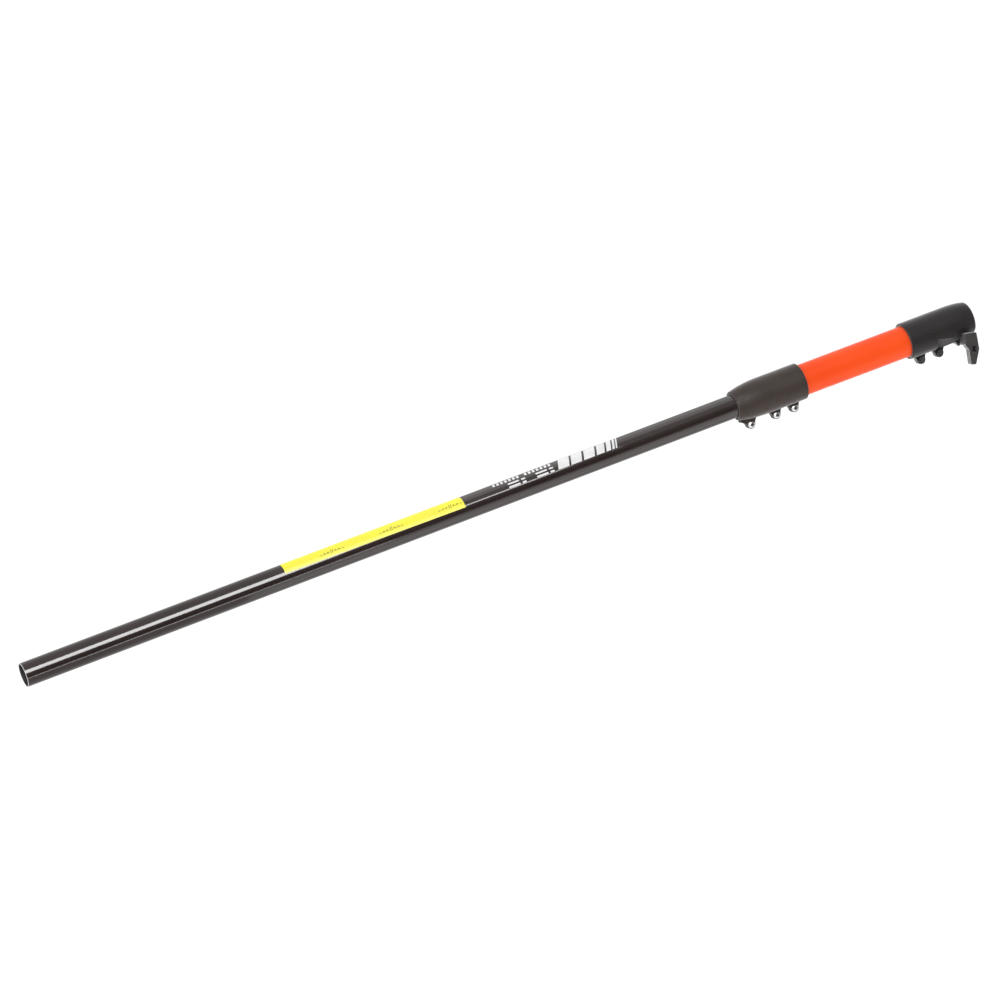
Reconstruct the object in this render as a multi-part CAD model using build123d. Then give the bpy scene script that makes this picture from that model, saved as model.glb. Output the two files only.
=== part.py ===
from build123d import *
import os
from math import cos, radians, sin

# Extension pole section: a slim tube with a plain end, and a wide socket tube with a pinch clamp.
# All sizes in millimetres. The pole lies along X, with its plain end at X = 0 and the socket's mouth
# at X = POLE_LENGTH. The clamp screws are below the pole, towards -Z, and the lever is on the -Y side.

# Overall
POLE_LENGTH = 1234.8
FIT_GAP = 0.03

# Slim tube
TUBE_R = 14.3
TUBE_BORE_R = 12.7
TUBE_END = 945.0
TUBE_EDGE = 0.3
MARK_X = 280.0
MARK_WIDTH = 0.8
MARK_DEPTH = 0.2

# Printed films on the slim tube: start, end, and the arc that they cover, in degrees from -Z towards -Y
FILM_THICKNESS = 0.12
LABEL = (324.0, 554.0, 104.0, 250.0)
SMALL_MARKS = (594.0, 671.5, 112.0, 180.0)
LARGE_MARKS = (676.0, 762.0, 112.0, 180.0)

# Socket tube
SOCKET_R = 19.05
SOCKET_BORE_R = 14.6
SOCKET_START = 946.4
SOCKET_END = 1197.5
SHOULDER_GAP = 0.5

# Shared moulding sizes
BODY_R = 22.6
SLIT = 2.0
RIM_ROUND = 1.2

# Coupler that joins the two tubes
COUPLER_START = 912.4
COUPLER_LENGTH = 90.4
COUPLER_NOSE_R = 17.8
COUPLER_SWELL = 38.0
COUPLER_SWELL_SLOPE = 0.26
COUPLER_SCREWS = (926.6, 960.8, 985.4)
COUPLER_STOP_START = 945.2
COUPLER_STOP_END = 946.2
COUPLER_STOP_R = 13.1

# Clamp at the socket's mouth
CLAMP_START = 1145.8
CLAMP_LENGTH = POLE_LENGTH - CLAMP_START
CLAMP_BORE_R = 14.4
CLAMP_TAPER_START = 60.0
CLAMP_TAPER_SLOPE = -0.24
CLAMP_MOUTH_R = 20.0
CLAMP_MOUTH_ROUND = 2.3
MOUTH_CHAMFER = 0.4
CLAMP_SCREWS = (1159.3, 1184.4)
RELIEF_START = 1202.2
RELIEF_END = 1204.2
RELIEF_TOP = -7.1
PIN_HOLE_X = 1176.8
PIN_HOLE_ANGLE = 80.0
PIN_HOLE_R = 1.3
PIN_HOLE_DEPTH = 2.5
FACET_START = 1180.0
FACET_ANGLE = 38.0
FACET_DEEP = 3.4
FACET_SHALLOW = 0.6

# Screw ears
SCREW_Z = -27.5
EAR_R = 5.3
EAR_FLARE = 8.8
EAR_FLARE_Z = -21.4
EAR_BEND = 0.7
EAR_BEND_Z = -23.6
EAR_ROOT_Z = -18.0
EAR_HALF = 3.8
NOSE_GUSSET = 12.0

# M5 button-head screws and nuts
SCREW_R = 2.45
SCREW_HOLE_R = 2.7
SCREW_HEAD_R = 4.75
SCREW_HEAD_H = 2.75
SCREW_DOME_R = 5.53
SCREW_DOME_DROP = 2.13
SCREW_LENGTH = 12.0
SCREW_KEY = 3.0
SCREW_KEY_DEPTH = 1.6
SCREW_EDGE = 0.4
NUT_AF = 8.0
NUT_H = 4.0
NUT_BORE_R = 2.5
NUT_SEAT = 2.5
NUT_POCKET_GAP = 0.05

# Pinch bolt, washer and lever
BOLT_X = 1218.0
BOLT_Z = -21.6
BOLT_R = 3.0
BOLT_HOLE_R = 3.3
BOLT_HEAD_AF = 10.0
BOLT_HEAD_H = 4.0
BOLT_SEAT = 9.0
BOLT_TIP = -25.0
PINCH_EAR_R = 7.2
PINCH_EAR_HALF = 12.4
PINCH_EAR_LEFT = RELIEF_END + 0.3
PINCH_EAR_LEFT_Z = -19.5
TOOTH_INNER = -7.0
TOOTH_TIP_Z = -26.2
TOOTH_TIP_X = 1207.4
TOOTH_TIP_WIDTH = 1.4
LEVER_CLEARANCE_R = 9.2
WASHER_R = 6.4
WASHER_BORE_R = 3.1
WASHER_T = 1.2
WASHER_GAP = 0.1
LEVER_HUB_R = 8.2
LEVER_HUB_INNER = -13.8
LEVER_INNER = -20.0
LEVER_OUTER = -30.5
LEVER_OUTLINE = (
    (-5.8, 10.2), (8.8, 7.4), (7.8, -2.2), (6.6, -12.8),
    (-2.7, -29.4), (-8.7, -28.0), (-6.2, -10.0), (-9.6, -2.0),
)
LEVER_CORNER = 1.4
LEVER_ROUND = 0.9
LEVER_WINDOW_AT = (0.1, -11.0)
LEVER_WINDOW_WIDTH = 5.3
LEVER_WINDOW_LENGTH = 7.3
LEVER_WINDOW_TILT = 15.0
LEVER_WINDOW_DEPTH = 6.0
INSERT_R = 4.2
INSERT_BORE_R = 3.05
INSERT_START = -14.2
INSERT_END = -26.0

ON_BASE = (Align.CENTER, Align.CENTER, Align.MIN)


def rod_x(radius, start, end):
    """A round rod on the pole's axis."""
    return Plane(origin=(start, 0, 0), z_dir=(1, 0, 0)) * Cylinder(radius, end - start, align=ON_BASE)


def rod_y(radius, x, z, y0, y1, tip_radius=None):
    """A round rod, or a cone, along Y from y0 to y1."""
    base = Plane(origin=(x, y0, z), z_dir=(0, y1 - y0, 0))
    if tip_radius is None:
        return base * Cylinder(radius, abs(y1 - y0), align=ON_BASE)
    return base * Cone(radius, tip_radius, abs(y1 - y0), align=ON_BASE)


def hex_y(across_flats, x, z, y0, y1):
    """A hexagonal bar along Y from y0 to y1."""
    base = Plane(origin=(x, y0, z), x_dir=(1, 0, 0), z_dir=(0, y1 - y0, 0))
    return extrude(base * RegularPolygon(across_flats / 2, 6, major_radius=False), amount=abs(y1 - y0))


def block(x0, x1, y0, y1, z0, z1):
    """A box between two corners."""
    return Pos((x0 + x1) / 2, (y0 + y1) / 2, (z0 + z1) / 2) * Box(x1 - x0, abs(y1 - y0), z1 - z0)


def rims_at(shape, x):
    """The circular edges that lie in the plane at x."""
    circles = shape.edges().filter_by(GeomType.CIRCLE)
    return circles.filter_by(lambda e: abs(e.arc_center.X - x) < 0.01 and abs((e @ 0).X - (e @ 0.5).X) < 0.01)


# Tubes

def main_tube():
    body = rod_x(TUBE_R, 0, TUBE_END) - rod_x(TUBE_BORE_R, 0, TUBE_END)
    body = chamfer(rims_at(body, 0) + rims_at(body, TUBE_END), TUBE_EDGE)
    mark_end = MARK_X + MARK_WIDTH
    return body - (rod_x(TUBE_R + 1, MARK_X, mark_end) - rod_x(TUBE_R - MARK_DEPTH, MARK_X, mark_end))


def socket_tube():
    body = rod_x(SOCKET_R, SOCKET_START, SOCKET_END) - rod_x(SOCKET_BORE_R, SOCKET_START, SOCKET_END)
    return chamfer(rims_at(body, SOCKET_START) + rims_at(body, SOCKET_END), TUBE_EDGE)


def film(start, end, angle_from, angle_to):
    """A thin printed film wrapped around part of the slim tube."""
    def on_tube(radius, angle):
        return (-radius * sin(radians(angle)), -radius * cos(radians(angle)))

    middle = (angle_from + angle_to) / 2
    outer_r = TUBE_R + FILM_THICKNESS
    outer = ThreePointArc(*[on_tube(outer_r, a) for a in (angle_from, middle, angle_to)])
    inner = ThreePointArc(*[on_tube(TUBE_R, a) for a in (angle_from, middle, angle_to)])
    section = make_face([outer, inner, Line(outer @ 0, inner @ 0), Line(outer @ 1, inner @ 1)])
    return extrude(Plane.YZ.offset(start) * section, amount=end - start)


# Mouldings

def coupler_body():
    swell_end = (COUPLER_SWELL, BODY_R)
    nose = (0, COUPLER_NOSE_R)
    swell = Spline(nose, swell_end, tangents=[(1, COUPLER_SWELL_SLOPE), (1, 0)])
    rest = Polyline(swell_end, (COUPLER_LENGTH, BODY_R), (COUPLER_LENGTH, 0), (0, 0), nose)
    body = revolve(make_face([swell, rest]), Axis.X)
    body = fillet(rims_at(body, 0) + rims_at(body, COUPLER_LENGTH), RIM_ROUND)
    return Pos(COUPLER_START, 0, 0) * body


def clamp_body():
    taper_start = (CLAMP_TAPER_START, BODY_R)
    shoulder = (CLAMP_LENGTH - CLAMP_MOUTH_ROUND, CLAMP_MOUTH_R)
    lip = (CLAMP_LENGTH, CLAMP_MOUTH_R - CLAMP_MOUTH_ROUND)
    taper = Spline(taper_start, shoulder, tangents=[(1, 0), (1, CLAMP_TAPER_SLOPE)])
    mouth = TangentArc(shoulder, lip, tangent=(1, CLAMP_TAPER_SLOPE))
    rest = Polyline(lip, (CLAMP_LENGTH, 0), (0, 0), (0, BODY_R), taper_start)
    body = revolve(make_face([taper, mouth, rest]), Axis.X)
    return Pos(CLAMP_START, 0, 0) * fillet(rims_at(body, 0), RIM_ROUND)


def ear(x, left_flare=EAR_FLARE):
    """A screw ear, round at the bottom and flared into the body."""
    boss = ThreePointArc((-EAR_R, SCREW_Z), (0, SCREW_Z - EAR_R), (EAR_R, SCREW_Z))
    bend = EAR_R + EAR_BEND
    left = Bezier((-EAR_R, SCREW_Z), (-bend, EAR_BEND_Z), (-left_flare, EAR_FLARE_Z))
    right = Bezier((EAR_R, SCREW_Z), (bend, EAR_BEND_Z), (EAR_FLARE, EAR_FLARE_Z))
    root = Polyline(left @ 1, (-left_flare, EAR_ROOT_Z), (EAR_FLARE, EAR_ROOT_Z), right @ 1)
    return Pos(x, 0, 0) * extrude(Plane.XZ * make_face([boss, left, right, root]), amount=EAR_HALF, both=True)


def pinch_ear():
    """The pinch collar's ear: a round boss, a low web to the relief slot, and a tooth beside the lever."""
    half = PINCH_EAR_HALF
    boss_left = BOLT_X - PINCH_EAR_R
    boss = rod_y(PINCH_EAR_R, BOLT_X, BOLT_Z, -half, half)
    neck = block(boss_left, BOLT_X + PINCH_EAR_R, -half, half, BOLT_Z, EAR_ROOT_Z)
    root = [(boss_left, BOLT_Z), (boss_left, EAR_ROOT_Z), (PINCH_EAR_LEFT, EAR_ROOT_Z),
            (PINCH_EAR_LEFT, PINCH_EAR_LEFT_Z)]
    tooth_tip = [(TOOTH_TIP_X, TOOTH_TIP_Z), (TOOTH_TIP_X + TOOTH_TIP_WIDTH, TOOTH_TIP_Z)]
    web = extrude(Plane.XZ * make_face(Polyline(*root, close=True)), amount=half, both=True)
    tooth = make_face(Polyline(*root, *tooth_tip, close=True))
    return boss + neck + web + extrude(Plane.XZ.offset(-TOOTH_INNER) * tooth, amount=half + TOOTH_INNER)


def screw_cuts(x, nut_side):
    """A through hole for a screw, and the pocket of its nut."""
    hole = rod_y(SCREW_HOLE_R, x, SCREW_Z, -EAR_HALF - 1, EAR_HALF + 1)
    pocket = hex_y(NUT_AF + NUT_POCKET_GAP, x, SCREW_Z, nut_side * NUT_SEAT, nut_side * (EAR_HALF + 1))
    return hole + pocket


def bottom_slit(start, end):
    return block(start - 1, end + 1, -SLIT / 2, SLIT / 2, -50, 0)


def reducer_coupler():
    end = COUPLER_START + COUPLER_LENGTH
    body = coupler_body() + ear(COUPLER_SCREWS[0], left_flare=NOSE_GUSSET)
    for x in COUPLER_SCREWS[1:]:
        body += ear(x)
    body -= rod_x(COUPLER_STOP_R, COUPLER_START - 1, end + 1)
    body -= rod_x(TUBE_R + FIT_GAP, COUPLER_START - 1, COUPLER_STOP_START)
    body -= rod_x(SOCKET_R + FIT_GAP, COUPLER_STOP_END, end + 1)
    for x in COUPLER_SCREWS:
        body -= screw_cuts(x, 1)
    return body - bottom_slit(COUPLER_START, end)


def underside_facet(side):
    """A wedge cut beside the slit, deep behind the second ear and fading out at the relief slot."""
    length = RELIEF_START - FACET_START
    plan = Polyline((0, BODY_R - FACET_DEEP), (length, BODY_R - FACET_SHALLOW), (length, BODY_R + 5),
                    (0, BODY_R + 5), close=True)
    wedge = extrude(Plane.XZ * make_face(plan), amount=BODY_R, both=True)
    return Pos(FACET_START, 0, 0) * Rot(180 + side * FACET_ANGLE, 0, 0) * wedge


def pinch_seats():
    """Flat seats for the washer and lever on one side and for the bolt's head on the other."""
    lever = rod_y(LEVER_CLEARANCE_R, BOLT_X, BOLT_Z, -PINCH_EAR_HALF, -40)
    head = hex_y(BOLT_HEAD_AF + 0.1, BOLT_X, BOLT_Z, BOLT_SEAT, 40)
    return lever + head + rod_y(BOLT_HOLE_R, BOLT_X, BOLT_Z, -40, 40)


def end_clamp():
    body = clamp_body() - underside_facet(1) - underside_facet(-1) + pinch_ear()
    for x in CLAMP_SCREWS:
        body += ear(x)
    body -= rod_x(SOCKET_R + FIT_GAP, CLAMP_START - 1, SOCKET_END + SHOULDER_GAP)
    body -= rod_x(CLAMP_BORE_R, CLAMP_START, POLE_LENGTH + 1)
    body = chamfer(rims_at(body, POLE_LENGTH).sort_by(SortBy.RADIUS)[:1], MOUTH_CHAMFER)
    for x in CLAMP_SCREWS:
        body -= screw_cuts(x, -1)
    body -= pinch_seats()
    body -= block(RELIEF_START, RELIEF_END, -40, 40, -50, RELIEF_TOP)
    pin_hole = rod_y(PIN_HOLE_R, PIN_HOLE_X, 0, -BODY_R + PIN_HOLE_DEPTH, -BODY_R - 2)
    body -= Rot(90 - PIN_HOLE_ANGLE, 0, 0) * pin_hole
    return body - bottom_slit(CLAMP_START, POLE_LENGTH)


# Fasteners

def button_screw(x, head_side):
    """An M5 button-head screw whose head is on the given side."""
    seat = head_side * EAR_HALF
    top = head_side * (EAR_HALF + SCREW_HEAD_H)
    dome = Pos(x, head_side * (EAR_HALF - SCREW_DOME_DROP), SCREW_Z) * Sphere(SCREW_DOME_R)
    head = rod_y(SCREW_HEAD_R, x, SCREW_Z, seat, top) & dome
    shank = rod_y(SCREW_R, x, SCREW_Z, seat, seat - head_side * SCREW_LENGTH)
    return head + shank - hex_y(SCREW_KEY, x, SCREW_Z, top - head_side * SCREW_KEY_DEPTH, top + head_side)


def hex_nut(x, nut_side):
    """An M5 nut in its pocket on the given side."""
    y0, y1 = nut_side * NUT_SEAT, nut_side * (NUT_SEAT + NUT_H)
    corners = NUT_AF / 2 * 1.1
    blank = hex_y(NUT_AF, x, SCREW_Z, y0, y1) & rod_y(corners, x, SCREW_Z, y0, y1)
    return blank - rod_y(NUT_BORE_R, x, SCREW_Z, y0, y1)


def clamp_bolt():
    head = hex_y(BOLT_HEAD_AF, BOLT_X, BOLT_Z, BOLT_SEAT, BOLT_SEAT + BOLT_HEAD_H)
    shank = rod_y(BOLT_R, BOLT_X, BOLT_Z, BOLT_SEAT, BOLT_TIP)
    return head + chamfer(shank.edges().filter_by(GeomType.CIRCLE).sort_by(Axis.Y)[0], SCREW_EDGE)


def clamp_washer():
    y0 = -PINCH_EAR_HALF - WASHER_GAP
    ring = rod_y(WASHER_R, BOLT_X, BOLT_Z, y0, y0 - WASHER_T)
    return ring - rod_y(WASHER_BORE_R, BOLT_X, BOLT_Z, y0, y0 - WASHER_T)


def clamp_lever():
    """The lever, with its hub on the pinch bolt and a thumb recess in its outer face."""
    outline = make_face(Polyline(*LEVER_OUTLINE, close=True))
    outline = fillet(outline.vertices(), LEVER_CORNER)
    blade = extrude(Plane.XZ.offset(-LEVER_INNER) * outline, amount=LEVER_INNER - LEVER_OUTER)
    blade = fillet(blade.faces().sort_by(Axis.Y)[0].edges(), LEVER_ROUND)
    hub = rod_y(LEVER_HUB_R, 0, 0, LEVER_HUB_INNER, LEVER_OUTER + LEVER_ROUND)
    window_x, window_z = LEVER_WINDOW_AT
    half_width = LEVER_WINDOW_WIDTH / 2
    half_length = LEVER_WINDOW_LENGTH / 2
    floor = LEVER_OUTER + LEVER_WINDOW_DEPTH
    window = block(-half_width, half_width, LEVER_OUTER - 1, floor, -half_length, half_length)
    window = Pos(window_x, 0, window_z) * Rot(0, LEVER_WINDOW_TILT, 0) * window
    body = Pos(BOLT_X, 0, BOLT_Z) * (blade + hub - window)
    bolt_room = rod_y(BOLT_R + 0.3, BOLT_X, BOLT_Z, LEVER_HUB_INNER + 1, INSERT_END - 1)
    return body - rod_y(INSERT_R, BOLT_X, BOLT_Z, LEVER_HUB_INNER + 1, INSERT_END) - bolt_room


def lever_insert():
    sleeve = rod_y(INSERT_R, BOLT_X, BOLT_Z, INSERT_START, INSERT_END)
    return sleeve - rod_y(INSERT_BORE_R, BOLT_X, BOLT_Z, INSERT_START, INSERT_END)


parts = {
    "main_tube": main_tube(),
    "warning_label": film(*LABEL),
    "small_marks_decal": film(*SMALL_MARKS),
    "large_marks_decal": film(*LARGE_MARKS),
    "socket_tube": socket_tube(),
    "reducer_coupler": reducer_coupler(),
    "end_clamp": end_clamp(),
    "clamp_bolt": clamp_bolt(),
    "clamp_washer": clamp_washer(),
    "clamp_lever": clamp_lever(),
    "lever_insert": lever_insert(),
}
for number, x in enumerate(COUPLER_SCREWS, start=1):
    parts[f"coupler_screw_{number}"] = button_screw(x, -1)
    parts[f"coupler_nut_{number}"] = hex_nut(x, 1)
for number, x in enumerate(CLAMP_SCREWS, start=1):
    parts[f"clamp_screw_{number}"] = button_screw(x, 1)
    parts[f"clamp_nut_{number}"] = hex_nut(x, -1)

os.makedirs("parts", exist_ok=True)
for name, shape in parts.items():
    export_step(shape, f"parts/{name}.step")
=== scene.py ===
import math

import bmesh
import bpy
from mathutils import Matrix, Vector


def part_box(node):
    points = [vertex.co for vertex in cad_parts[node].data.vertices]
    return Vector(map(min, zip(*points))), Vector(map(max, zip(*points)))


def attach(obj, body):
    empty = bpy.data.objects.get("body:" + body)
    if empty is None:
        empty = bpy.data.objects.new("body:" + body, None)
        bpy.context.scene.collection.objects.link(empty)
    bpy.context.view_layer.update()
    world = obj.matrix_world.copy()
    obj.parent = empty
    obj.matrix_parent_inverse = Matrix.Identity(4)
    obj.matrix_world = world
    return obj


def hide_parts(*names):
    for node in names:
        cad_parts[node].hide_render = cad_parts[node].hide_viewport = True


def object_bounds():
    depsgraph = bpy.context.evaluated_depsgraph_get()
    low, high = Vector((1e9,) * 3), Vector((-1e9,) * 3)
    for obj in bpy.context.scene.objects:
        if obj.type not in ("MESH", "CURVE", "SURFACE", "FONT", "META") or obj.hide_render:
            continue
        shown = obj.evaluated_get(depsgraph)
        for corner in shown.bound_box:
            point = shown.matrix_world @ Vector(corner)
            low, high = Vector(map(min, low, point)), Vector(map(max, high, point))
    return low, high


# The looks of the extension pole section: a gloss black tube with printed films, a satin orange socket
# tube, two moulded nylon collars, and their fasteners. Row coordinates in metres, with the pole along X.

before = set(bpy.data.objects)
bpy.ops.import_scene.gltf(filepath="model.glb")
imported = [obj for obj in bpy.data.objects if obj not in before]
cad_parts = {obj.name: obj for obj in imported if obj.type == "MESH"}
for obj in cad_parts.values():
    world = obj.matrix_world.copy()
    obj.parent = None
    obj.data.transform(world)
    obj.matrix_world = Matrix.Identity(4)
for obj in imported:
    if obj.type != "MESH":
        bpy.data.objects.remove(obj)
cad_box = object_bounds()

MM = 0.001
ROUND = 128
SMOOTH_ANGLE = math.radians(30)

# View: the camera looks across the pole from the plain end's side, rolled so that the pole rises to the right
LENS = 172.8
SENSOR = 36.0
DISTANCE = 5.595
TILT = math.radians(17.4)
ROLL = math.radians(20.77)
ELEVATION = math.radians(12.0)
AIM_ALONG = 0.6003
AIM_BELOW = 0.00576

# Studio
WORLD_LEVEL = 1.17
DIM_LEVEL = 0.4
DIM_OUTER = math.cos(math.radians(38))
DIM_INNER = math.cos(math.radians(4))
DIM_BELOW = math.radians(11)
FLAG_MIDDLE = 0.8
FLAG_HALF_LENGTH = 1.1
FLAG_DISTANCE = 0.8
FLAG_BOTTOM = -0.36
FLOOR_DROP = 0.35
FLOOR_SIZE = 60
LIGHT_DISTANCE = 1.6


def row_box(node):
    low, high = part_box(node)
    return Vector(low), Vector(high)


tube_low, tube_high = row_box("main_tube")
socket_low, socket_high = row_box("socket_tube")
TUBE_R = tube_high.z
SOCKET_R = socket_high.z


# Camera

def camera_axes():
    """The row's X, Y and Z as the camera sees them: to its right, up, and back towards it."""
    along = Vector((math.cos(TILT) * math.cos(ROLL), math.cos(TILT) * math.sin(ROLL), -math.sin(TILT)))
    down = Vector((math.sin(ROLL), -math.cos(ROLL), 0))
    near = Vector((math.sin(TILT) * math.cos(ROLL), math.sin(TILT) * math.sin(ROLL), math.cos(TILT)))
    minus_y = math.cos(ELEVATION) * near + math.sin(ELEVATION) * down
    minus_z = math.cos(ELEVATION) * down - math.sin(ELEVATION) * near
    return along, -minus_y, -minus_z


def add_camera():
    data = bpy.data.cameras.new("camera")
    data.lens = LENS
    data.sensor_width = SENSOR
    data.clip_end = 100
    camera = bpy.data.objects.new("camera", data)
    bpy.context.scene.collection.objects.link(camera)
    bpy.context.scene.camera = camera
    x_axis, y_axis, z_axis = camera_axes()
    turn = Matrix((x_axis, y_axis, z_axis))
    aim = Vector((-AIM_BELOW * math.sin(ROLL), AIM_BELOW * math.cos(ROLL), -DISTANCE))
    place = Vector((AIM_ALONG, 0, 0)) - turn @ aim
    camera.matrix_world = Matrix.Translation(place) @ turn.to_4x4()


# Materials

class Shader:
    """A small helper for building a node material in row coordinates."""

    def __init__(self, name, color, roughness, metallic=0.0, ior=1.5, specular=0.5):
        self.material = bpy.data.materials.new(name)
        self.material.use_nodes = True
        self.nodes = self.material.node_tree.nodes
        self.links = self.material.node_tree.links
        self.main = self.nodes["Principled BSDF"]
        self.main.inputs["Base Color"].default_value = (*color, 1)
        self.main.inputs["Roughness"].default_value = roughness
        self.main.inputs["Metallic"].default_value = metallic
        self.main.inputs["IOR"].default_value = ior
        self.main.inputs["Specular IOR Level"].default_value = specular
        self.place = self.nodes.new("ShaderNodeTexCoord").outputs["Object"]
        self.bump = None

    def node(self, kind, **inputs):
        node = self.nodes.new(kind)
        for key, value in inputs.items():
            node.inputs[key.replace("_", " ")].default_value = value
        return node

    def stretched(self, scale):
        node = self.node("ShaderNodeMapping", Scale=scale)
        self.links.new(self.place, node.inputs["Vector"])
        return node.outputs["Vector"]

    def noise(self, scale, detail=3.0, stretch=(1, 1, 1)):
        node = self.node("ShaderNodeTexNoise", Scale=scale, Detail=detail)
        self.links.new(self.stretched(stretch), node.inputs["Vector"])
        return node.outputs["Fac"]

    def spots(self, scale):
        node = self.node("ShaderNodeTexVoronoi", Scale=scale)
        self.links.new(self.place, node.inputs["Vector"])
        return node.outputs["Distance"]

    def ramp(self, value, low, high, from_low=0.35, from_high=0.65):
        node = self.node("ShaderNodeMapRange")
        node.inputs["From Min"].default_value = from_low
        node.inputs["From Max"].default_value = from_high
        node.inputs["To Min"].default_value = low
        node.inputs["To Max"].default_value = high
        self.links.new(value, node.inputs["Value"])
        return node.outputs["Result"]

    def mix(self, factor, first, second):
        node = self.nodes.new("ShaderNodeMix")
        node.data_type = "RGBA"
        for socket, value in ((node.inputs[6], first), (node.inputs[7], second)):
            if isinstance(value, tuple):
                socket.default_value = (*value, 1)
            else:
                self.links.new(value, socket)
        self.links.new(factor, node.inputs[0])
        return node.outputs[2]

    def set(self, name, value):
        self.links.new(value, self.main.inputs[name])

    def relief(self, height, distance, strength=1.0):
        node = self.node("ShaderNodeBump", Strength=strength, Distance=distance)
        self.links.new(height, node.inputs["Height"])
        if self.bump:
            self.links.new(self.bump, node.inputs["Normal"])
        self.bump = node.outputs["Normal"]
        self.links.new(self.bump, self.main.inputs["Normal"])


def black_coat():
    """Gloss black powder coat: faint orange peel, drawn lines along the tube and light handling scuffs."""
    s = Shader("gloss_black_coat", (0.012, 0.011, 0.011), 0.12, ior=1.47)
    drawn = s.noise(3.0, 2.0, (1, 260, 260))
    clouds = s.noise(26.0, 4.0)
    scuffs = s.ramp(s.noise(90.0, 5.0, (0.25, 1, 1)), 0.0, 1.0, 0.60, 0.72)
    s.set("Base Color", s.mix(s.ramp(clouds, 0.0, 1.0), (0.0142, 0.0070, 0.0056), (0.0192, 0.0108, 0.0090)))
    s.set("Roughness", s.mix(scuffs, s.ramp(drawn, 0.085, 0.135), (0.22, 0.22, 0.22)))
    s.relief(s.noise(1400.0, 2.0, (0.4, 1, 1)), 0.000012)
    s.relief(drawn, 0.00001)
    return s.material


def bare_cut():
    """Bare aluminium where the tube's outer edge is chamfered."""
    s = Shader("bare_aluminium", (0.86, 0.86, 0.87), 0.3, metallic=1.0)
    cut = s.noise(2600.0, 3.0, (1, 1, 0.15))
    s.set("Roughness", s.ramp(cut, 0.22, 0.42))
    s.set("Base Color", s.mix(s.noise(700.0), (0.78, 0.78, 0.79), (0.92, 0.92, 0.92)))
    s.relief(cut, 0.00003)
    return s.material


def bore_shade_paint():
    """The dull inside of the slim tube, its colour painted dark as the shade that falls inside the bore."""
    s = Shader("bore_shade_paint", (0.03, 0.03, 0.03), 0.6, specular=0.3)
    drawn = s.noise(4.0, 3.0, (1, 300, 300))
    s.set("Base Color", s.mix(drawn, (0.018, 0.017, 0.017), (0.045, 0.044, 0.044)))
    s.set("Roughness", s.ramp(drawn, 0.5, 0.7))
    return s.material


def orange_coat():
    """Satin pigmented glass-fibre: even colour with slow clouds, faint fibre lines and a few fine specks."""
    s = Shader("satin_orange", (0.96, 0.066, 0.0025), 0.38, ior=1.45, specular=0.2)
    s.main.inputs["Sheen Weight"].default_value = 0.12
    s.main.inputs["Sheen Roughness"].default_value = 0.3
    clouds = s.noise(14.0, 3.0)
    fibres = s.noise(5.0, 3.0, (1, 220, 220))
    tint = s.mix(s.ramp(clouds, 0.0, 1.0), (0.90, 0.064, 0.002), (0.935, 0.080, 0.003))
    specks = s.ramp(s.spots(420.0), 1.0, 0.0, 0.03, 0.07)
    s.set("Base Color", s.mix(specks, tint, (0.76, 0.046, 0.0025)))
    s.set("Roughness", s.ramp(fibres, 0.32, 0.45))
    s.relief(fibres, 0.00002)
    s.relief(s.noise(900.0, 2.0), 0.00001)
    return s.material


def moulded_nylon(name, dark, light, low, high):
    """Glass-filled nylon: fine spark-eroded grain, flow clouds and a soft sheen."""
    s = Shader(name, dark, 0.5, specular=0.2)
    s.main.inputs["Sheen Weight"].default_value = 0.8
    s.main.inputs["Sheen Roughness"].default_value = 0.35
    grain = s.noise(2300.0, 3.0)
    flow = s.noise(55.0, 4.0, (0.5, 1, 1))
    s.set("Base Color", s.mix(s.ramp(flow, 0.0, 1.0), dark, light))
    s.set("Roughness", s.ramp(s.noise(300.0, 3.0), low, high))
    s.relief(grain, 0.00006, 0.8)
    s.relief(s.noise(420.0, 2.0), 0.00004, 0.6)
    return s.material


def plated_steel(name, color, low, high):
    """Plated steel with fine turning marks and slight tarnish."""
    s = Shader(name, color, 0.25, metallic=1.0)
    turned = s.noise(1600.0, 2.0, (1, 0.2, 1))
    dull = tuple(0.72 * c for c in color)
    s.set("Base Color", s.mix(s.ramp(s.noise(500.0, 4.0), 0.0, 1.0), color, dull))
    s.set("Roughness", s.ramp(turned, low, high))
    s.relief(turned, 0.00001)
    return s.material


def printed_film(name, color, shade):
    """A matte printed film, a little uneven in its ink, with a faint wrinkle."""
    s = Shader(name, color, 0.42, ior=1.45)
    ink = s.noise(70.0, 4.0)
    s.set("Base Color", s.mix(s.ramp(ink, 0.0, 1.0), color, shade))
    s.set("Roughness", s.ramp(s.noise(1200.0, 2.0), 0.36, 0.5))
    s.relief(s.noise(160.0, 2.0, (0.3, 1, 1)), 0.00003)
    return s.material


COAT = black_coat()
CUT = bare_cut()
# the bore's dark colour is painted shade inside the tube
BORE = bore_shade_paint()
ORANGE = orange_coat()
COUPLER_NYLON = moulded_nylon("warm_grey_nylon", (0.026, 0.0155, 0.0115), (0.034, 0.022, 0.017), 0.5, 0.64)
CLAMP_NYLON = moulded_nylon("black_nylon", (0.0072, 0.0045, 0.0045), (0.0108, 0.0078, 0.0078), 0.46, 0.6)
LEVER_NYLON = moulded_nylon("lever_nylon", (0.034, 0.030, 0.030), (0.044, 0.039, 0.039), 0.4, 0.55)
ZINC = plated_steel("bright_zinc", (0.50, 0.50, 0.50), 0.2, 0.36)
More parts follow.
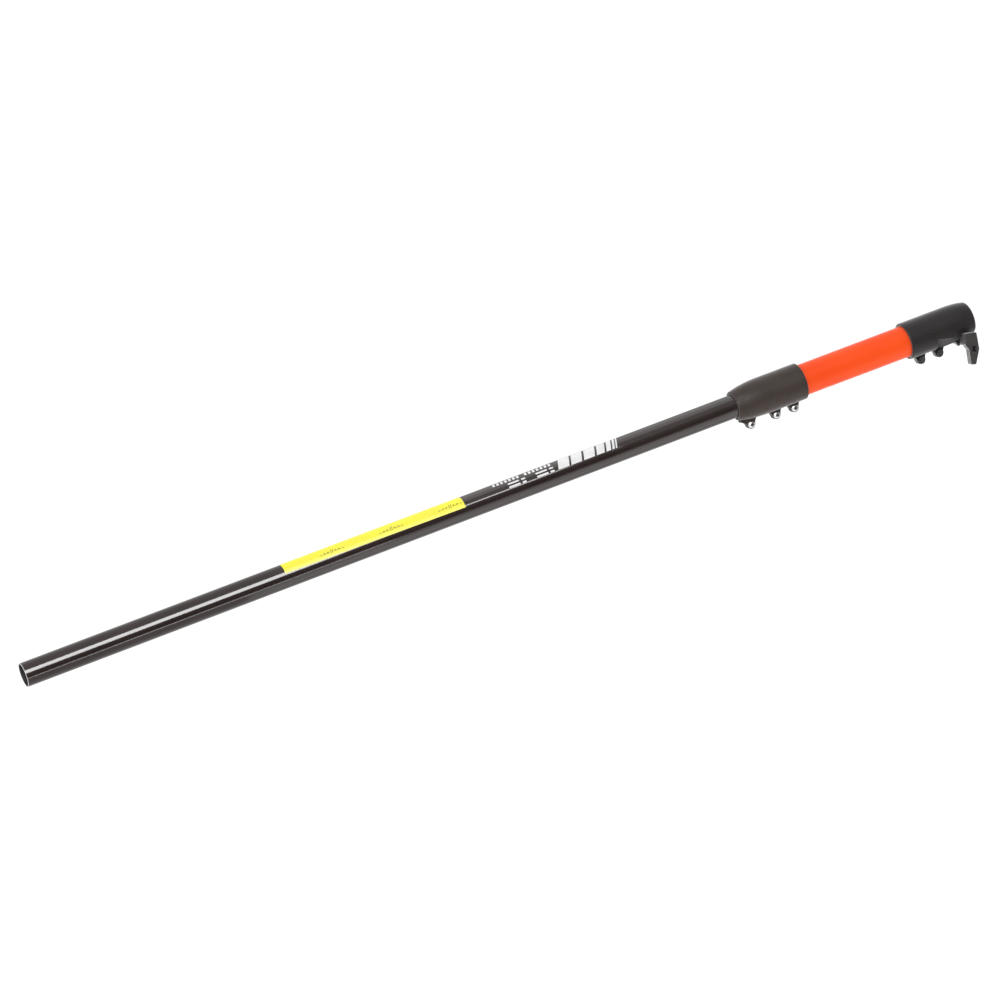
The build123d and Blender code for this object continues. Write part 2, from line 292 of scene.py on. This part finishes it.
# painted shade: the dark colour of the button heads' hexagonal recess
RECESS_SHADE_PAINT = plated_steel("painted_recess_shade", (0.10, 0.10, 0.10), 0.45, 0.6)
BLACK_OXIDE = plated_steel("black_oxide", (0.11, 0.105, 0.105), 0.3, 0.5)
BRASS = plated_steel("turned_brass", (0.78, 0.58, 0.28), 0.22, 0.4)
YELLOW = printed_film("yellow_film", (0.90, 0.84, 0.018), (0.84, 0.78, 0.03))
LABEL_INK = printed_film("label_ink", (0.055, 0.04, 0.02), (0.12, 0.09, 0.04))
WHITE_INK = printed_film("white_ink", (0.80, 0.80, 0.80), (0.70, 0.70, 0.71))


# Meshes

def link(name, bm, materials):
    """Turns a mesh into an object of the scene, smooth but for its sharp edges."""
    bmesh.ops.recalc_face_normals(bm, faces=bm.faces)
    mesh = bpy.data.meshes.new(name)
    bm.to_mesh(mesh)
    bm.free()
    obj = bpy.data.objects.new(name, mesh)
    bpy.context.scene.collection.objects.link(obj)
    for material in materials:
        mesh.materials.append(material)
    mesh.shade_smooth()
    mesh.set_sharp_from_angle(angle=SMOOTH_ANGLE)
    return obj


def join_loops(bm, loops, indices):
    """Faces from each loop to the next one, with the material index of the first of the two."""
    for first, second, index in zip(loops, loops[1:], indices):
        for i in range(len(first)):
            j = (i + 1) % len(first)
            bm.faces.new((first[i], first[j], second[j], second[i])).material_index = index


def turned_tube(name, rings, materials):
    """A closed body of revolution about X. Each ring is (x, radius, material of the band that follows it)."""
    bm = bmesh.new()
    loops = []
    for x, radius, _ in rings:
        loop = []
        for i in range(ROUND):
            angle = 2 * math.pi * i / ROUND
            loop.append(bm.verts.new((x, radius * math.cos(angle), radius * math.sin(angle))))
        loops.append(loop)
    join_loops(bm, loops + loops[:1], [index for _, _, index in rings])
    return link(name, bm, materials)


def wrapped_patch(bm, corners, radius, thickness, material, steps):
    """A thin curved sheet on the slim tube. Corners are (x, angle from -Z towards -Y), bottom left first.

    The material is an index into the object's own, and the steps are counted around the tube.
    """
    (x0, a0), (x1, a1), (x2, a2), (x3, a3) = corners

    def at(u, v, r):
        x = (x0 + (x1 - x0) * u) * (1 - v) + (x3 + (x2 - x3) * u) * v
        angle = math.radians((a0 + (a1 - a0) * u) * (1 - v) + (a3 + (a2 - a3) * u) * v)
        return bm.verts.new((x, -r * math.sin(angle), -r * math.cos(angle)))

    top = [[at(u, v / steps, radius + thickness) for u in (0, 1)] for v in range(steps + 1)]
    base = [[at(u, v / steps, radius) for u in (0, 1)] for v in range(steps + 1)]
    faces = []
    for v in range(steps):
        faces.append((top[v][0], top[v][1], top[v + 1][1], top[v + 1][0]))
        faces.append((base[v][1], base[v][0], base[v + 1][0], base[v + 1][1]))
        faces.append((top[v + 1][0], base[v + 1][0], base[v][0], top[v][0]))
        faces.append((top[v][1], base[v][1], base[v + 1][1], top[v + 1][1]))
    faces.append((top[0][0], base[0][0], base[0][1], top[0][1]))
    faces.append((top[-1][1], base[-1][1], base[-1][0], top[-1][0]))
    for corners_of_face in faces:
        bm.faces.new(corners_of_face).material_index = material


def leaning(left, right, bottom, top, lean=0.0):
    """Corners of a patch between two places along the tube and two angles, its top edge shifted by lean."""
    return [(left, bottom), (right, bottom), (right + lean, top), (left + lean, top)]


def stand_for(obj, node):
    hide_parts(node)
    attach(obj, "pole")


# Tubes, with a small chamfer at every edge of their ends

EDGE = 0.3 * MM
SLIM_BORE_R = 12.7 * MM
WIDE_BORE_R = 14.6 * MM
MARK_START = 280 * MM
MARK_END = 280.8 * MM
MARK_DEPTH = 0.2 * MM


def slim_tube():
    """Gloss coat outside, in the insertion groove and on the cut faces; bare outer chamfers; a dull bore
    whose dark colour is painted shade.
    """
    # dull: the bore, its dark colour painted shade inside the tube
    coated, bare, dull = 0, 1, 2
    start, end = tube_low.x, tube_high.x
    rings = [
        (start + EDGE, TUBE_R, coated), (MARK_START, TUBE_R, coated),
        (MARK_START, TUBE_R - MARK_DEPTH, coated), (MARK_END, TUBE_R - MARK_DEPTH, coated),
        (MARK_END, TUBE_R, coated), (end - EDGE, TUBE_R, bare),
        (end, TUBE_R - EDGE, coated), (end, SLIM_BORE_R + EDGE, dull), (end - EDGE, SLIM_BORE_R, dull),
        (start + EDGE, SLIM_BORE_R, dull), (start, SLIM_BORE_R + EDGE, coated), (start, TUBE_R - EDGE, bare),
    ]
    stand_for(turned_tube("slim_tube", rings, [COAT, CUT, BORE]), "main_tube")


def wide_tube():
    start, end = socket_low.x, socket_high.x
    rings = [
        (start + EDGE, SOCKET_R, 0), (end - EDGE, SOCKET_R, 0), (end, SOCKET_R - EDGE, 0),
        (end, WIDE_BORE_R + EDGE, 0), (end - EDGE, WIDE_BORE_R, 0), (start + EDGE, WIDE_BORE_R, 0),
        (start, WIDE_BORE_R + EDGE, 0), (start, SOCKET_R - EDGE, 0),
    ]
    stand_for(turned_tube("orange_socket_tube", rings, [ORANGE]), "socket_tube")


# Printed films. Their outlines stay inside the CAD films: angles are in degrees from -Z towards -Y.

FILM = 0.1 * MM
PRINT = 0.02 * MM
LABEL_LOW_START = 112.0
LABEL_LOW_END = 104.3
LABEL_HIGH = 249.0

# label print: three groups along the film, as shares of its length
GROUPS = (0.265, 0.595, 0.925)
DASH_ROWS = (130.5, 135.0)
DASH_HEIGHT = 2.6
DASH_START = 3.4 * MM
DASH_PITCH = 4.4 * MM
DASH_LENGTH = 3.3 * MM
DASH_SHORTER = 0.9 * MM
SLANT_LOW = 126.0
SLANT_HIGH = 146.0
SLANT_OFFSET = 1.1 * MM
SLANT_WIDTH = 0.7 * MM
SLANT_LEAN = 1.0 * MM

# white marks: their edges as angles, and lengths along the tube
MARKS_LOW = 114.0
TICK_LOW = 151.0
TICK_HIGH = 172.0
STRIPE_HIGH = 178.0
TICKS = 15
MISSING_TICK = 7
TICK_LENGTH = 3.0 * MM
TICK_LEAN = 0.8 * MM
STRIPE_LEAN = 6.4 * MM

# pairs of a thick dash and a square: where they start as shares of the film, their spans in mm, their angles
PAIR_STARTS = (0.235, 0.705)
PAIR_SPANS = ((0, 14.5), (17.5, 22.5))
PAIR_ANGLES = ((MARKS_LOW, 122.5), (131.5, 140.0))


def label_group(bm, centre):
    """Two rows of plain dashes on both sides of two slanted ticks."""
    for row, angle in enumerate(DASH_ROWS):
        length = DASH_LENGTH - DASH_SHORTER * row
        for side in (-1, 1):
            for dash in range(3 - row):
                near = centre + side * (DASH_START + DASH_PITCH * dash)
                left, right = sorted((near, near + side * length))
                corners = leaning(left, right, angle, angle + DASH_HEIGHT)
                wrapped_patch(bm, corners, TUBE_R + FILM, PRINT, 1, 2)
    for side in (-1, 1):
        x = centre + side * SLANT_OFFSET
        slant = leaning(x - SLANT_WIDTH, x, SLANT_LOW, SLANT_HIGH, SLANT_LEAN)
        wrapped_patch(bm, slant, TUBE_R + FILM, PRINT, 1, 4)


def label():
    low, high = row_box("warning_label")
    bm = bmesh.new()
    outline = [(low.x, LABEL_LOW_START), (high.x, LABEL_LOW_END), (high.x, LABEL_HIGH), (low.x, LABEL_HIGH)]
    wrapped_patch(bm, outline, TUBE_R, FILM, 0, 60)
    for share in GROUPS:
        label_group(bm, low.x + (high.x - low.x) * share)
    stand_for(link("yellow_label", bm, [YELLOW, LABEL_INK]), "warning_label")


def small_marks():
    """A row of short ticks above two pairs of thick dashes, each with two squares beside it."""
    low, high = row_box("small_marks_decal")
    bm = bmesh.new()
    length = high.x - low.x
    for i in range(TICKS):
        x = low.x + length * (i + 0.15) / TICKS
        if i != MISSING_TICK:
            tick = leaning(x, x + TICK_LENGTH, TICK_LOW, TICK_HIGH, TICK_LEAN)
            wrapped_patch(bm, tick, TUBE_R, FILM, 0, 4)
    for start in PAIR_STARTS:
        x = low.x + length * start
        for left, right in PAIR_SPANS:
            for bottom, top in PAIR_ANGLES:
                wrapped_patch(bm, leaning(x + left * MM, x + right * MM, bottom, top), TUBE_R, FILM, 0, 4)
    stand_for(link("small_white_marks", bm, [WHITE_INK]), "small_marks_decal")


def large_marks():
    """Broad slanted stripes that get narrower towards the socket end. Each is (width, gap after it) in mm."""
    stripes = ((14.4, 2.6), (14.0, 2.8), (14.2, 2.6), (10.4, 2.4), (6.0, 1.9), (2.8, 1.5), (1.9, 1.3))
    x = row_box("large_marks_decal")[0].x
    bm = bmesh.new()
    for width, gap in stripes:
        stripe = leaning(x, x + width * MM, MARKS_LOW, STRIPE_HIGH, STRIPE_LEAN)
        wrapped_patch(bm, stripe, TUBE_R, FILM, 0, 24)
        x += (width + gap) * MM
    stand_for(link("large_white_stripes", bm, [WHITE_INK]), "large_marks_decal")


# Coupler screws: M5 button heads on the -Y side, with a hexagonal recess inside a bright ring, its dark
# colour painted shade

SCREW_SIDES = 48
DOME_STEPS = 7


def coupler_screw(name):
    """A screw along Y: plain shank, domed head and hexagonal recess. A ring without a radius is hexagonal."""
    low, high = row_box(name)
    x, z = (low.x + high.x) / 2, (low.z + high.z) / 2
    head_r, head_h, shank_r = 4.75 * MM, 2.75 * MM, 2.45 * MM
    dome_r, dome_drop = 5.53 * MM, 2.13 * MM
    hex_half, hex_deep = 1.5 * MM, 1.6 * MM
    seat = low.y + head_h
    bright, dark = 0, 1

    rings = [(high.y, shank_r, bright), (seat, shank_r, bright), (seat, head_r, bright)]
    edge = math.sqrt(dome_r ** 2 - head_r ** 2) - dome_drop
    for step in range(DOME_STEPS + 1):
        height = edge + (head_h - edge) * step / DOME_STEPS
        rings.append((seat - height, math.sqrt(dome_r ** 2 - (height + dome_drop) ** 2), bright))
    # the recess rings take the dark material, painted shade inside the socket
    rings += [(low.y, None, dark), (low.y + hex_deep, None, dark)]

    bm = bmesh.new()
    loops = []
    for y, radius, _ in rings:
        loop = []
        for i in range(SCREW_SIDES):
            angle = 2 * math.pi * i / SCREW_SIDES
            r = radius or hex_half / math.cos(angle % (math.pi / 3) - math.pi / 6)
            loop.append(bm.verts.new((x + r * math.cos(angle), y, z + r * math.sin(angle))))
        loops.append(loop)
    join_loops(bm, loops, [index for _, _, index in rings])
    bm.faces.new(loops[0])
    bm.faces.new(loops[-1]).material_index = dark
    stand_for(link(name.replace("coupler", "button"), bm, [ZINC, RECESS_SHADE_PAINT]), name)


# CAD nodes that keep their own mesh

def dress_cad_nodes():
    looks = {"reducer_coupler": COUPLER_NYLON, "end_clamp": CLAMP_NYLON, "clamp_lever": LEVER_NYLON,
             "lever_insert": BRASS, "clamp_bolt": ZINC, "clamp_washer": ZINC}
    for name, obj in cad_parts.items():
        material = looks.get(name, BLACK_OXIDE if name.startswith("clamp_") else ZINC)
        obj.data.materials.clear()
        obj.data.materials.append(material)


# Studio: a white room with a dim side, a pale floor, and soft strips seen only in gloss

def white_room():
    world = bpy.data.worlds.new("white_room")
    bpy.context.scene.world = world
    world.use_nodes = True
    nodes = world.node_tree.nodes
    links = world.node_tree.links
    direction = nodes.new("ShaderNodeTexCoord").outputs["Generated"]
    facing = nodes.new("ShaderNodeVectorMath")
    facing.operation = "DOT_PRODUCT"
    # the dim side is what the middle of the pole mirrors: the camera's direction, flipped along the pole
    dim_side = bpy.context.scene.camera.matrix_world.to_translation() - Vector((AIM_ALONG, 0, 0))
    dim_side.x *= -1
    dim_side.rotate(Matrix.Rotation(DIM_BELOW, 3, "X"))
    facing.inputs[1].default_value = dim_side.normalized()
    links.new(direction, facing.inputs[0])
    level = nodes.new("ShaderNodeMapRange")
    level.interpolation_type = "SMOOTHSTEP"
    level.inputs["From Min"].default_value = DIM_OUTER
    level.inputs["From Max"].default_value = DIM_INNER
    level.inputs["To Min"].default_value = WORLD_LEVEL
    level.inputs["To Max"].default_value = DIM_LEVEL
    links.new(facing.outputs["Value"], level.inputs["Value"])
    links.new(level.outputs["Result"], nodes["Background"].inputs["Strength"])
    nodes["Background"].inputs["Color"].default_value = (1, 1, 1, 1)


def strip(name, start, end, elevation, height, distance, radiance):
    """A soft light aimed at the pole, its elevation counted from the lever's side; only gloss shows it."""
    data = bpy.data.lights.new(name, "AREA")
    data.shape = "RECTANGLE"
    data.size = end - start
    data.size_y = 2 * distance * math.tan(math.radians(height) / 2)
    data.energy = radiance * math.pi * data.size * data.size_y
    light = bpy.data.objects.new(name, data)
    bpy.context.scene.collection.objects.link(light)
    angle = math.radians(elevation)
    towards = Vector((0, -math.cos(angle), math.sin(angle)))
    up = Vector((0, math.sin(angle), math.cos(angle)))
    side = up.cross(towards)
    turn = Matrix((side, up, towards)).transposed()
    centre = Vector(((start + end) / 2, 0, 0)) + towards * distance
    light.matrix_world = Matrix.Translation(centre) @ turn.to_4x4()
    light.visible_camera = False
    light.visible_diffuse = False


def pale_floor():
    bpy.ops.mesh.primitive_plane_add(size=FLOOR_SIZE, location=(AIM_ALONG, 0, cad_box[0][2] - FLOOR_DROP))
    floor = bpy.context.object
    floor.name = "floor"
    s = Shader("pale_floor", (0.95, 0.95, 0.95), 0.9, specular=0.0)
    s.set("Base Color", s.mix(s.noise(1.5), (0.945, 0.945, 0.945), (0.955, 0.955, 0.955)))
    floor.data.materials.append(s.material)


def dark_flag():
    """A grey card low on the lever's side. Only gloss shows it, as the dark line along the tube."""
    half = Vector((FLAG_HALF_LENGTH, 0, 0))
    bottom = Vector((FLAG_MIDDLE, -FLAG_DISTANCE, FLAG_BOTTOM))
    top = Vector((FLAG_MIDDLE, -FLAG_DISTANCE, 0.0))
    mesh = bpy.data.meshes.new("dark_flag")
    mesh.from_pydata([bottom - half, bottom + half, top + half, top - half], [], [(0, 1, 2, 3)])
    flag = bpy.data.objects.new("dark_flag", mesh)
    bpy.context.scene.collection.objects.link(flag)
    s = Shader("flag_cloth", (0.22, 0.22, 0.22), 0.9, specular=0.0)
    s.set("Base Color", s.mix(s.noise(8.0), (0.20, 0.20, 0.20), (0.24, 0.24, 0.24)))
    mesh.materials.append(s.material)
    flag.visible_camera = False
    flag.visible_diffuse = False
    flag.visible_shadow = False


add_camera()
bpy.context.scene.view_settings.view_transform = "Standard"
dress_cad_nodes()
slim_tube()
wide_tube()
label()
small_marks()
large_marks()
for number in (1, 2, 3):
    coupler_screw(f"coupler_screw_{number}")
white_room()
pale_floor()
dark_flag()
# name, start and end along the pole, elevation and height in degrees, distance from the pole, radiance
for light in (
    ("main_strip", -0.9, 0.86, 32.2, 27.5, LIGHT_DISTANCE, 18),
    ("thin_strip", 0.86, 1.20, 30, 8, LIGHT_DISTANCE, 15),
    ("low_strip", -0.6, 0.6, -31, 4, 0.5, 8),
    ("top_fill", 0.8, 1.6, 100, 60, LIGHT_DISTANCE, 1.1),
    ("under_fill", 0.35, 1.3, -62, 50, 0.3, 1.1),
    ("side_card", 1.02, 1.18, 200, 36, 0.27, 5),
):
    strip(*light)
